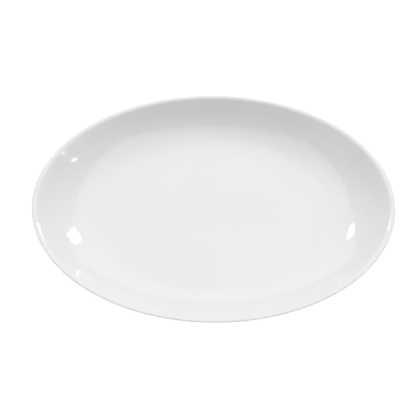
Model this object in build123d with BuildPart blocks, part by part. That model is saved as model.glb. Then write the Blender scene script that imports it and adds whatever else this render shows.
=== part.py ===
from build123d import *
from math import cos, radians, sin, tan
import os

# An oval china serving platter: a coupe-shaped dish of fired porcelain on an oval foot ring, under glaze.
#
# The long axis lies along X, the short axis along Y and +Z is up. The origin is the centre of the foot
# ring's bare resting face. All lengths are millimetres.
#
# The dish is one round section, turned about Z and then narrowed in Y, so its flat well, its curved flank
# and its rim are all similar ovals. The foot ring keeps one width all the way round. The glaze is a thin
# glass coat over both. It stops short of the face that the platter rests on, and that parts it into two
# pieces: one over the whole dish and down the outside of the foot ring, and one inside the ring.

# The finished, glazed platter
LENGTH = 330.0
WIDTH = 228.0
HEIGHT = 35.0
GLAZE = 0.3

# The clay dish's section, along the long axis. Slopes are degrees above the horizontal. The lip is two
# arcs that meet at its crest: a broad one on the inside and a tight one on the outside.
UNDERSIDE = 3.7
FLOOR_THICKNESS = 4.8
INNER_LIP_RADIUS = 7.7
OUTER_LIP_RADIUS = 0.7
INSIDE_SLOPE = 37.0
OUTSIDE_SLOPE = 38.0
SWEEP_SLOPE = 5.0
SWEEP_RADIUS = 160.3
INSIDE_KNEE = 88.3
OUTSIDE_KNEE = 61.7

# The clay foot ring, at the face it rests on
FOOT_LENGTH = 200.0
FOOT_WIDTH = 138.0
FOOT_LAND = 4.4
FOOT_BATTER = 1.6
FOOT_ARRIS = 0.7

# How far the foot ring is left bare, and how the glaze pools where the ring meets the underside
BARE_HEIGHT = 0.9
POOL_RADIUS = 1.6

NARROWING = WIDTH / LENGTH
WELL_FLOOR = UNDERSIDE + FLOOR_THICKNESS
CREST = Vector(LENGTH / 2 - GLAZE - OUTER_LIP_RADIUS, HEIGHT - GLAZE)

def bend(radius, slope, steeper):
    """How far out and up a curve of this radius goes while it turns from one slope to a steeper one."""
    out = sin(radians(steeper)) - sin(radians(slope))
    up = cos(radians(slope)) - cos(radians(steeper))
    return Vector(out, up) * radius

def level_edge(level, knee, lip_edge, slope):
    """Where a level stretch must end for its knee to lead into the straight flank below the lip."""
    flank_rise = lip_edge.Y - level - knee.Y
    return lip_edge.X - knee.X - flank_rise / tan(radians(slope))

# Inside, the flat well sweeps up gently, rounds the knee and runs straight up to the lip
sweep_and_knee = bend(SWEEP_RADIUS, 0, SWEEP_SLOPE) + bend(INSIDE_KNEE, SWEEP_SLOPE, INSIDE_SLOPE)
inner_lip_edge = CREST - bend(INNER_LIP_RADIUS, 0, INSIDE_SLOPE)
WELL_EDGE = level_edge(WELL_FLOOR, sweep_and_knee, inner_lip_edge, INSIDE_SLOPE)

# Outside, the flat underside rounds one knee, and the flank is slightly steeper than the inside's
outside_knee = bend(OUTSIDE_KNEE, 0, OUTSIDE_SLOPE)
outer_lip_edge = CREST + bend(OUTER_LIP_RADIUS, OUTSIDE_SLOPE - 180, 0)
UNDERSIDE_EDGE = level_edge(UNDERSIDE, outside_knee, outer_lip_edge, OUTSIDE_SLOPE)

def dish(coat):
    """The whole dish under a coat of this thickness. A coat of 0 is the bare clay."""
    crest = CREST + Vector(0, coat)
    well_edge = (WELL_EDGE, WELL_FLOOR + coat)
    underside_edge = (UNDERSIDE_EDGE, UNDERSIDE - coat)
    with BuildPart() as body:
        with BuildSketch(Plane.XZ):
            with BuildLine():
                Line((0, UNDERSIDE - coat), (0, WELL_FLOOR + coat))
                Line((0, WELL_FLOOR + coat), well_edge)
                sweep = JernArc(well_edge, (1, 0), SWEEP_RADIUS - coat, SWEEP_SLOPE)
                knee = JernArc(sweep @ 1, sweep % 1, INSIDE_KNEE - coat, INSIDE_SLOPE - SWEEP_SLOPE)
                inner_lip = JernArc(crest, (-1, 0), INNER_LIP_RADIUS + coat, INSIDE_SLOPE)
                Line(knee @ 1, inner_lip @ 1)
                outer_lip = JernArc(crest, (1, 0), OUTER_LIP_RADIUS + coat, OUTSIDE_SLOPE - 180)
                outer_knee = JernArc(underside_edge, (1, 0), OUTSIDE_KNEE + coat, OUTSIDE_SLOPE)
                Line(outer_knee @ 1, outer_lip @ 1)
                Line(underside_edge, (0, UNDERSIDE - coat))
            make_face()
        revolve(axis=Axis.Z)
        scale(by=(1, NARROWING, 1))
    return body.part

def tapered_oval(half_length, half_width, spread):
    """An oval block from z = 0 up to the clay's underside, where its half axes are larger by spread."""
    with BuildPart() as block:
        with BuildSketch():
            Ellipse(half_length, half_width)
        with BuildSketch(Plane.XY.offset(UNDERSIDE)):
            Ellipse(half_length + spread, half_width + spread)
        loft(ruled=True)
    return block.part

def foot(coat):
    """The foot ring under a coat of this thickness, with both of its sides leaning in to the resting face."""
    outer = [size / 2 + coat for size in (FOOT_LENGTH, FOOT_WIDTH)]
    inner = [size - FOOT_LAND - 2 * coat for size in outer]
    filled = tapered_oval(*outer, FOOT_BATTER)
    hollow = tapered_oval(*inner, -FOOT_BATTER)
    with BuildPart() as ring:
        add(filled)
        add(hollow, mode=Mode.SUBTRACT)
    return ring.part

clay_dish = dish(coat=0)
clay_foot = foot(coat=0)
glazed_dish = dish(coat=GLAZE)
glazed_foot = foot(coat=GLAZE)

# The fired clay dish: flat well, curved flank and rounded lip
with BuildPart() as porcelain_dish:
    add(clay_dish)
porcelain_dish.part.label = "porcelain_dish"

# The fired clay foot ring, with the edges of its resting face eased
with BuildPart() as foot_ring:
    add(clay_foot)
    fillet(foot_ring.edges().group_by(Axis.Z)[0], FOOT_ARRIS)
foot_ring.part.label = "foot_ring"

# All of the glaze, pooled where the foot ring meets the underside and wiped off the ring's resting face
with BuildPart() as glaze:
    add(glazed_dish)
    add(glazed_foot)
    underside = UNDERSIDE - GLAZE
    at_underside = glaze.edges().filter_by_position(Axis.Z, underside - 0.01, underside + 0.01)
    fillet(at_underside.sort_by(SortBy.LENGTH)[:2], POOL_RADIUS)
    add(clay_dish, mode=Mode.SUBTRACT)
    add(clay_foot, mode=Mode.SUBTRACT)
    split(bisect_by=Plane.XY.offset(BARE_HEIGHT), keep=Keep.TOP)
inside_ring, over_dish = glaze.solids().sort_by(SortBy.VOLUME)

# The glaze over the well, flank, lip and outside, down to the outer side of the foot ring
with BuildPart() as glaze_coat:
    add(over_dish)
glaze_coat.part.label = "glaze_coat"

# The glaze over the underside's recess, within the foot ring
with BuildPart() as recess_glaze:
    add(inside_ring)
recess_glaze.part.label = "recess_glaze"

os.makedirs("parts", exist_ok=True)
export_step(porcelain_dish.part, "parts/porcelain_dish.step")
export_step(foot_ring.part, "parts/foot_ring.step")
export_step(glaze_coat.part, "parts/glaze_coat.step")
export_step(recess_glaze.part, "parts/recess_glaze.step")
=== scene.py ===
import math

import bmesh
import bpy
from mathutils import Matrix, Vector, noise


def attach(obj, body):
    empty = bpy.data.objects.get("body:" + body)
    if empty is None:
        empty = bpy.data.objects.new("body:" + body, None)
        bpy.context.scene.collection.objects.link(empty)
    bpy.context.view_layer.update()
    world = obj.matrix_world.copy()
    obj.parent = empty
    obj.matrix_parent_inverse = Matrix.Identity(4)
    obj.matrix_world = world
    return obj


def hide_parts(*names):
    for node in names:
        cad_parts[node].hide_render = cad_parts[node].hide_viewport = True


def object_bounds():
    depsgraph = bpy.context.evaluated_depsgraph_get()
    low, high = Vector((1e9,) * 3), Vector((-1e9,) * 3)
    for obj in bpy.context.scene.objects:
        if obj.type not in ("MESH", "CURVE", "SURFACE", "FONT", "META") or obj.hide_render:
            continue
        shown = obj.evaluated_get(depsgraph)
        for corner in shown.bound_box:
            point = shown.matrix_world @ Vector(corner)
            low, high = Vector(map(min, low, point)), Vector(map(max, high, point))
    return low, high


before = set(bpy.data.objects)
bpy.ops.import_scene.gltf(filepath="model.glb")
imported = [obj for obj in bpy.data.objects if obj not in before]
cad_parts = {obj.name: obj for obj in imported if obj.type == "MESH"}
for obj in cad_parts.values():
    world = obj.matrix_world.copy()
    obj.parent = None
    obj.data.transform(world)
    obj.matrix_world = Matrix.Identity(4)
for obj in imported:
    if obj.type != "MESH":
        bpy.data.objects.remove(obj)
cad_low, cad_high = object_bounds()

# A white oval china platter under clear glaze, on a plain white table in soft studio light.
# Lengths are metres and angles are degrees. A section is a list of points (out, up). A ring is an
# oval round the platter, given as (half length, half width, height), and a surface is a list of rings.

MM = 0.001

# The glazed platter's section along its long axis, inside the box that the frame gives. The lip is
# two arcs that meet at its crest: a broad one on the inside and a tight one on the outside.
HALF_LENGTH = round(cad_high.x, 4)
HALF_WIDTH = round(cad_high.y, 4)
HEIGHT = round(cad_high.z, 4)
NARROWING = HALF_WIDTH / HALF_LENGTH
GLAZE = 0.3 * MM
WELL = 8.8 * MM
UNDERSIDE = 3.4 * MM
INNER_LIP_RADIUS = 8 * MM
OUTER_LIP_RADIUS = 1 * MM
INSIDE_SLOPE = 37
OUTSIDE_SLOPE = 38
SWEEP_SLOPE = 5
SWEEP_RADIUS = 160 * MM
INSIDE_KNEE = 88 * MM
OUTSIDE_KNEE = 62 * MM

# The clay foot ring: the middle of the face it rests on, and its section about that
FOOT_MIDDLE = (97.8 * MM, 66.8 * MM)
FOOT_HALF_LAND = 2.2 * MM
FOOT_TOP = 3.7 * MM
FOOT_SPREAD = 1.6 * MM
FOOT_ARRIS = 0.7 * MM
BARE_HEIGHT = 0.9 * MM
POOL_RADIUS = 1.6 * MM
FOOT_LEAN = FOOT_SPREAD / FOOT_TOP
FOOT_SIDE_SLOPE = math.degrees(math.atan2(FOOT_TOP, FOOT_SPREAD))

# The table's grey, and the light it gives off so that it stays white round the platter
TABLE_SIZE = 12.0
TABLE_WHITE = 0.2
TABLE_GLOW = 0.86

# The light that the room gives from every side
ROOM_RADIANCE = 0.375

# How much the kiln has warped the fired dish: a slow waver that dies away towards the foot
WAVER = 0.16 * MM
WAVER_LENGTH = 62 * MM

# How finely the meshes are divided
AROUND = 320
WELL_RINGS = 26
SWEEP_STEPS = 8
KNEE_STEPS = 24
FLANK_STEPS = 8
INNER_LIP_STEPS = 10
OUTER_LIP_STEPS = 20
UNDERSIDE_RINGS = 4
POOL_STEPS = 10
POOLED_SIDE_STEPS = 3
ROLLED_END_STEPS = 10
ARRIS_STEPS = 10
FOOT_SIDE_STEPS = 6
LAND_STEPS = 8


def arc(centre, radius, start, end, steps):
    """A section along an arc, from one angle above the horizontal to another."""
    angles = [math.radians(start + (end - start) * i / steps) for i in range(steps + 1)]
    return [(centre[0] + radius * math.cos(a), centre[1] + radius * math.sin(a)) for a in angles]


def between(start, end, steps):
    """The evenly spaced points or rings between two others, without those two."""
    return [
        tuple(a + (b - a) * i / steps for a, b in zip(start, end))
        for i in range(1, steps)
    ]


def dish_side(level, bends, lip_edge):
    """A section round these bends and up the straight flank, ending short of the lip.

    Each bend is (radius, the slope that it ends at, steps). They are drawn from the axis and then
    slid out until the flank runs straight into the edge of the lip.
    """
    points = [(0, level)]
    slope = 0
    for radius, steeper, steps in bends:
        centre = (
            points[-1][0] - radius * math.sin(math.radians(slope)),
            points[-1][1] + radius * math.cos(math.radians(slope)),
        )
        points += arc(centre, radius, slope - 90, steeper - 90, steps)[1:]
        slope = steeper
    flank_length = (lip_edge[1] - points[-1][1]) / math.tan(math.radians(slope))
    slide = lip_edge[0] - flank_length - points[-1][0]
    side = [(out + slide, up) for out, up in points]
    return side + between(side[-1], lip_edge, FLANK_STEPS)


def dish_section(coat):
    """From the edge of the flat well, over the lip, to the edge of the flat underside.

    A coat of GLAZE is the glaze's own surface, and a coat of 0 is the clay's.
    """
    depth = GLAZE - coat
    crest = HALF_LENGTH - OUTER_LIP_RADIUS
    inner_centre = (crest, HEIGHT - INNER_LIP_RADIUS)
    outer_centre = (crest, HEIGHT - OUTER_LIP_RADIUS)
    inner_lip = arc(inner_centre, INNER_LIP_RADIUS - depth, INSIDE_SLOPE + 90, 90, INNER_LIP_STEPS)
    outer_lip = arc(outer_centre, OUTER_LIP_RADIUS - depth, 90, OUTSIDE_SLOPE - 90, OUTER_LIP_STEPS)
    lip = inner_lip + outer_lip[1:]
    inside_bends = [
        (SWEEP_RADIUS + depth, SWEEP_SLOPE, SWEEP_STEPS),
        (INSIDE_KNEE + depth, INSIDE_SLOPE, KNEE_STEPS),
    ]
    outside_bends = [(OUTSIDE_KNEE - depth, OUTSIDE_SLOPE, KNEE_STEPS)]
    inside = dish_side(WELL - depth, inside_bends, lip[0])
    outside = dish_side(UNDERSIDE + depth, outside_bends, lip[-1])
    return inside + lip + outside[::-1]


def dish_rings(section):
    """The dish's ovals all have the proportions of its rim."""
    return [(out, out * NARROWING, up) for out, up in section]


def foot_rings(section, side):
    """The foot's ovals keep one distance from the middle of its land.

    A side of 1 puts the section on the outside of the foot, and -1 puts its mirror image inside.
    """
    half_length, half_width = FOOT_MIDDLE
    return [(half_length + side * out, half_width + side * out, up) for out, up in section]


def foot_side(coat, up):
    """A point this high on the foot's side, or on the glaze over it."""
    return (FOOT_HALF_LAND + coat + up * FOOT_LEAN, up)


def pooled_glaze_section():
    """The glaze at the foot: down out of the pool, to its rolled end, and back up along the clay."""
    turn = math.radians(180 - FOOT_SIDE_SLOPE) / 2
    corner = foot_side(GLAZE, UNDERSIDE)
    pool_centre = (corner[0] + POOL_RADIUS / math.tan(turn), UNDERSIDE - POOL_RADIUS)
    pool = arc(pool_centre, POOL_RADIUS, 90, 90 + FOOT_SIDE_SLOPE, POOL_STEPS)
    bead = GLAZE / 2 * math.sin(math.radians(FOOT_SIDE_SLOPE))
    bead_centre = foot_side(GLAZE / 2, BARE_HEIGHT + bead)
    lean = FOOT_SIDE_SLOPE - 90
    rolled_end = arc(bead_centre, bead, lean, lean - 180, ROLLED_END_STEPS)
    down = between(pool[-1], rolled_end[0], POOLED_SIDE_STEPS)
    return pool + down + rolled_end + [foot_side(0, FOOT_TOP)]


def level_rings(ring):
    """The flat surface inside a ring, from its middle out."""
    return [(0, 0, ring[2])] + between((0, 0, ring[2]), ring, WELL_RINGS)


def make_object(name, bm):
    bmesh.ops.recalc_face_normals(bm, faces=bm.faces)
    mesh = bpy.data.meshes.new(name)
    bm.to_mesh(mesh)
    bm.free()
    mesh.shade_smooth()
    piece = bpy.data.objects.new(name, mesh)
    bpy.context.scene.collection.objects.link(piece)
    return piece


def fired(x, y, up):
    """Where the kiln has left a point of the dish. The crest of the lip never rises above its height."""
    waver = noise.noise(Vector((x, y, 0)) / WAVER_LENGTH) - 1
    return (x, y, up + WAVER * waver * (up / HEIGHT) ** 2)


def lathe(name, rings, closed=False):
    """A closed surface over these rings. One that isn't closed on itself starts and ends on the axis."""
    bm = bmesh.new()
    turns = [math.tau * i / AROUND for i in range(AROUND)]
    loops = []
    for half_length, half_width, up in rings:
        if half_length == 0:
            loops.append([bm.verts.new(fired(0, 0, up))] * AROUND)
        else:
            ring = [(half_length * math.cos(t), half_width * math.sin(t)) for t in turns]
            loops.append([bm.verts.new(fired(x, y, up)) for x, y in ring])
    pairs = list(zip(loops, loops[1:]))
    if closed:
        pairs.append((loops[-1], loops[0]))
    for inner, outer in pairs:
        for i in range(AROUND):
            j = (i + 1) % AROUND
            corners = dict.fromkeys((inner[i], inner[j], outer[j], outer[i]))
            bm.faces.new(list(corners))
    return make_object(name, bm)


def glaze_over_dish():
    face = dish_rings(dish_section(GLAZE))
    back = dish_rings(dish_section(0))
    foot = foot_rings(pooled_glaze_section(), 1)
    outer = level_rings(face[0]) + face + between(face[-1], foot[0], UNDERSIDE_RINGS) + foot
    under_clay = between(foot[-1], back[-1], UNDERSIDE_RINGS)
    inner = under_clay + back[::-1] + level_rings(back[0])[::-1]
    return lathe("glazed_dish", outer + inner)


def glaze_in_recess():
    foot = foot_rings(pooled_glaze_section(), -1)
    outer = level_rings(foot[0]) + foot
    inner = level_rings(foot[-1])[::-1]
    return lathe("glazed_recess", outer + inner)


def bare_foot():
    turn = math.radians(180 - FOOT_SIDE_SLOPE) / 2
    arris_centre = (FOOT_HALF_LAND - FOOT_ARRIS / math.tan(turn), FOOT_ARRIS)
    arris = arc(arris_centre, FOOT_ARRIS, FOOT_SIDE_SLOPE - 90, -90, ARRIS_STEPS)
    top = foot_side(0, FOOT_TOP)
    side = [top] + between(top, arris[0], FOOT_SIDE_STEPS) + arris
    mirrored = [(-out, up) for out, up in side[::-1]]
    land = between(side[-1], mirrored[0], LAND_STEPS)
    return lathe("bare_foot_ring", foot_rings(side + land + mirrored, 1), closed=True)


class Recipe:
    """A material's nodes. Patterns are worked out from the place in the object, in metres."""

    def __init__(self, name):
        self.material = bpy.data.materials.new(name)
        self.material.use_nodes = True
        self.tree = self.material.node_tree
        self.shader = self.tree.nodes["Principled BSDF"]
        self.place = self.add("TexCoord").outputs["Object"]

    def connect(self, value, socket):
        """Sets a socket to a plain value, or links another node's output to it."""
        if isinstance(value, bpy.types.NodeSocket):
            self.tree.links.new(value, socket)
        else:
            socket.default_value = value

    def add(self, kind, inputs=(), **settings):
        node = self.tree.nodes.new("ShaderNode" + kind)
        for name, value in settings.items():
            setattr(node, name, value)
        for name, value in dict(inputs).items():
            self.connect(value, node.inputs[name])
        return node

    def lumps(self, across, detail=2):
        """Smooth noise, mostly between 0.3 and 0.7, in lumps that are this far across."""
        inputs = {"Vector": self.place, "Scale": 1 / across, "Detail": detail}
        return self.add("TexNoise", inputs).outputs["Fac"]

    def spread(self, value, zero_at, one_at, low=0.0, high=1.0):
        """The value, eased from low, where it is zero_at, to high, where it is one_at."""
        inputs = {"Value": value, "From Min": zero_at, "From Max": one_at}
        inputs.update({"To Min": low, "To Max": high})
        return self.add("MapRange", inputs, interpolation_type="SMOOTHSTEP").outputs["Result"]

    def specks(self, apart, across):
        """1 in scattered round specks and 0 between them. They lie this far apart in space."""
        cells = self.add("TexVoronoi", {"Vector": self.place, "Scale": 1 / apart})
        edge = across / apart / 2
        return self.spread(cells.outputs["Distance"], edge, edge / 2)

    def by_height(self, zero_at, one_at):
        """0 at one height and 1 at another, which can be above it or below it."""
        height = self.add("SeparateXYZ", {"Vector": self.place}).outputs["Z"]
        return self.spread(height, zero_at, one_at)

    def blend(self, amount, first, second):
        """The first colour where amount is 0 and the second where it is 1."""
        mix = self.add("Mix", data_type="RGBA")
        factor, a, b = (socket for socket in mix.inputs if socket.enabled)
        for value, socket in ((amount, factor), (first, a), (second, b)):
            self.connect(value, socket)
        return next(socket for socket in mix.outputs if socket.enabled)

    def bump(self, height, depth, under=None):
        """A bumped normal, where the height's range is this deep. It adds to the normal under it."""
        inputs = {"Height": height, "Distance": depth, "Strength": 1.0}
        if under is not None:
            inputs["Normal"] = under
        return self.add("Bump", inputs).outputs["Normal"]

    def finish(self, colour, roughness, normal, ior):
        inputs = {"Base Color": colour, "Roughness": roughness, "Normal": normal, "IOR": ior}
        for name, value in inputs.items():
            self.connect(value, self.shader.inputs[name])
        return self.material


def glaze_material(name, speck_colour, roughest):
    """White china under clear glaze, which is thin over the lip's crest and pools at the foot."""
    recipe = Recipe(name)
    cloud = recipe.spread(recipe.lumps(48 * MM), 0.3, 0.7)
    white = recipe.blend(cloud, (0.796, 0.796, 0.797, 1), (0.808, 0.807, 0.804, 1))
    crest = recipe.by_height(HEIGHT - 1.6 * MM, HEIGHT)
    at_crest = recipe.blend(crest, white, (0.804, 0.804, 0.801, 1))
    pool = recipe.by_height(UNDERSIDE - 0.1 * MM, UNDERSIDE - 1.5 * MM)
    pooled = recipe.blend(pool, at_crest, (0.74, 0.765, 0.765, 1))
    specks = recipe.specks(5.5 * MM, 0.7 * MM)
    speckled = recipe.blend(specks, pooled, speck_colour)
    sheen = recipe.spread(recipe.lumps(14 * MM, detail=4), 0.3, 0.7, 0.035, roughest)
    orange_peel = recipe.bump(recipe.lumps(3.2 * MM, detail=1), 0.0035 * MM)
    pinholes = recipe.bump(specks, -0.012 * MM, under=orange_peel)
    return recipe.finish(speckled, sheen, pinholes, ior=1.52)


def biscuit_material(name, clay, stain):
    """Bare fired clay: matt, with a fine grit, and stained where it has stood and been washed."""
    recipe = Recipe(name)
    grit = recipe.lumps(0.45 * MM, detail=3)
    stains = recipe.spread(recipe.lumps(9 * MM, detail=4), 0.42, 0.72)
    dark_clay = [part * 0.9 for part in clay[:3]] + [1]
    gritty = recipe.blend(recipe.spread(grit, 0.35, 0.75), clay, dark_clay)
    stained = recipe.blend(stains, gritty, stain)
    kiln_specks = recipe.specks(1.6 * MM, 0.3 * MM)
    colour = recipe.blend(kiln_specks, stained, (0.3, 0.24, 0.19, 1))
    roughness = recipe.spread(grit, 0.3, 0.7, 0.72, 0.95)
    return recipe.finish(colour, roughness, recipe.bump(grit, 0.06 * MM), ior=1.5)


def table_material():
    """A nearly even white that glows."""
    recipe = Recipe("table_white")
    tone = recipe.spread(recipe.lumps(300 * MM), 0.3, 0.7)
    darker = (TABLE_WHITE,) * 3 + (1,)
    lighter = (TABLE_WHITE * 1.02,) * 3 + (1,)
    colour = recipe.blend(tone, darker, lighter)
    recipe.shader.inputs["Emission Color"].default_value = (1, 1, 1, 1)
    recipe.shader.inputs["Emission Strength"].default_value = TABLE_GLOW
    fibre = recipe.bump(recipe.lumps(0.8 * MM), 0.02 * MM)
    return recipe.finish(colour, 0.9, fibre, ior=1.45)


def aim(thing, place, target):
    thing.location = place
    thing.rotation_euler = (Vector(target) - Vector(place)).to_track_quat("-Z", "Y").to_euler()


def direction(azimuth, elevation):
    """The unit vector this far clockwise from +Y, seen from above, and this far above the horizon."""
    a, e = math.radians(azimuth), math.radians(elevation)
    return Vector((math.sin(a) * math.cos(e), math.cos(a) * math.cos(e), math.sin(e)))


def softbox(name, azimuth, elevation, distance, size, radiance, roll=0):
    """A flat lamp, aimed at the platter, whose size is (width, height) and whose face is this bright."""
    lamp = bpy.data.lights.new(name, "AREA")
    lamp.shape = "RECTANGLE"
    lamp.size, lamp.size_y = size
    lamp.energy = radiance * size[0] * size[1] * math.pi
    thing = bpy.data.objects.new(name, lamp)
    bpy.context.scene.collection.objects.link(thing)
    centre = Vector((0, 0, HEIGHT / 2))
    aim(thing, centre + direction(azimuth, elevation) * distance, centre)
    thing.rotation_euler.rotate_axis("Z", math.radians(roll))
    return thing


glaze = glaze_material("clear_glaze_on_white", (0.72, 0.71, 0.69, 1), roughest=0.07)
recess_glaze = glaze_material("clear_glaze_in_recess", (0.6, 0.57, 0.52, 1), roughest=0.16)
biscuit = biscuit_material("bare_biscuit", (0.72, 0.69, 0.63, 1), (0.55, 0.51, 0.45, 1))
pieces = {
    glaze_over_dish(): ("glaze_coat", "glaze", glaze),
    glaze_in_recess(): ("recess_glaze", "recess_glaze", recess_glaze),
    bare_foot(): ("foot_ring", "bare_foot", biscuit),
}
for piece, (node, slot, material) in pieces.items():
    piece.data.materials.append(material)
    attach(piece, "root")
    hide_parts(node)

# The clay dish is all under the glaze, so it keeps its CAD mesh
clay_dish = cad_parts["porcelain_dish"]
clay_dish.data.materials.clear()
porcelain = biscuit_material("porcelain_body", (0.8, 0.79, 0.76, 1), (0.77, 0.76, 0.74, 1))
clay_dish.data.materials.append(porcelain)

bpy.ops.mesh.primitive_plane_add(size=TABLE_SIZE)
table = bpy.context.object
table.name = "table"
table.data.materials.append(table_material())

# Two bright softboxes behind the platter make the highlights on its knees. The backdrop and the
# overhead panel meet edge to edge, so that the well reflects them evenly.
softbox("back_right_softbox", 32.7, 36.6, distance=1.6, size=(0.16, 0.35), radiance=37.5, roll=-3)
softbox("back_left_softbox", -34.6, 43.8, distance=1.6, size=(0.135, 0.22), radiance=23, roll=-32)
softbox("backdrop", 0, 39.9, distance=1.49, size=(1.6, 1.39), radiance=0.78)
softbox("front_right_panel", 128, 35, distance=1.7, size=(0.8, 0.8), radiance=0.36)
softbox("front_left_panel", -128, 35, distance=1.7, size=(0.8, 0.8), radiance=0.56)
softbox("right_spot", 106.9, 38.4, distance=1.6, size=(0.1, 0.13), radiance=8)
overhead = softbox("overhead_panel", 0, 90, distance=1.5, size=(1.6, 1.6), radiance=1.03)
overhead.location.y = -0.106
overhead.rotation_euler = (0, 0, 0)

world = bpy.data.worlds.new("studio")
world.use_nodes = True
background = world.node_tree.nodes["Background"]
background.inputs["Color"].default_value = (1, 1, 1, 1)
background.inputs["Strength"].default_value = ROOM_RADIANCE
bpy.context.scene.world = world
bpy.context.scene.view_settings.view_transform = "Standard"

CAMERA_AZIMUTH = 0.51
CAMERA_ELEVATION = 64.6
CAMERA_DISTANCE = 1.072
CAMERA_TARGET = (-3.2 * MM, 0.5 * MM, 20 * MM)
camera_data = bpy.data.cameras.new("camera")
camera_data.lens = 100
camera_data.sensor_width = 36
camera = bpy.data.objects.new("camera", camera_data)
bpy.context.scene.collection.objects.link(camera)
camera_side = direction(180 - CAMERA_AZIMUTH, CAMERA_ELEVATION)
aim(camera, Vector(CAMERA_TARGET) + camera_side * CAMERA_DISTANCE, CAMERA_TARGET)
bpy.context.scene.camera = camera
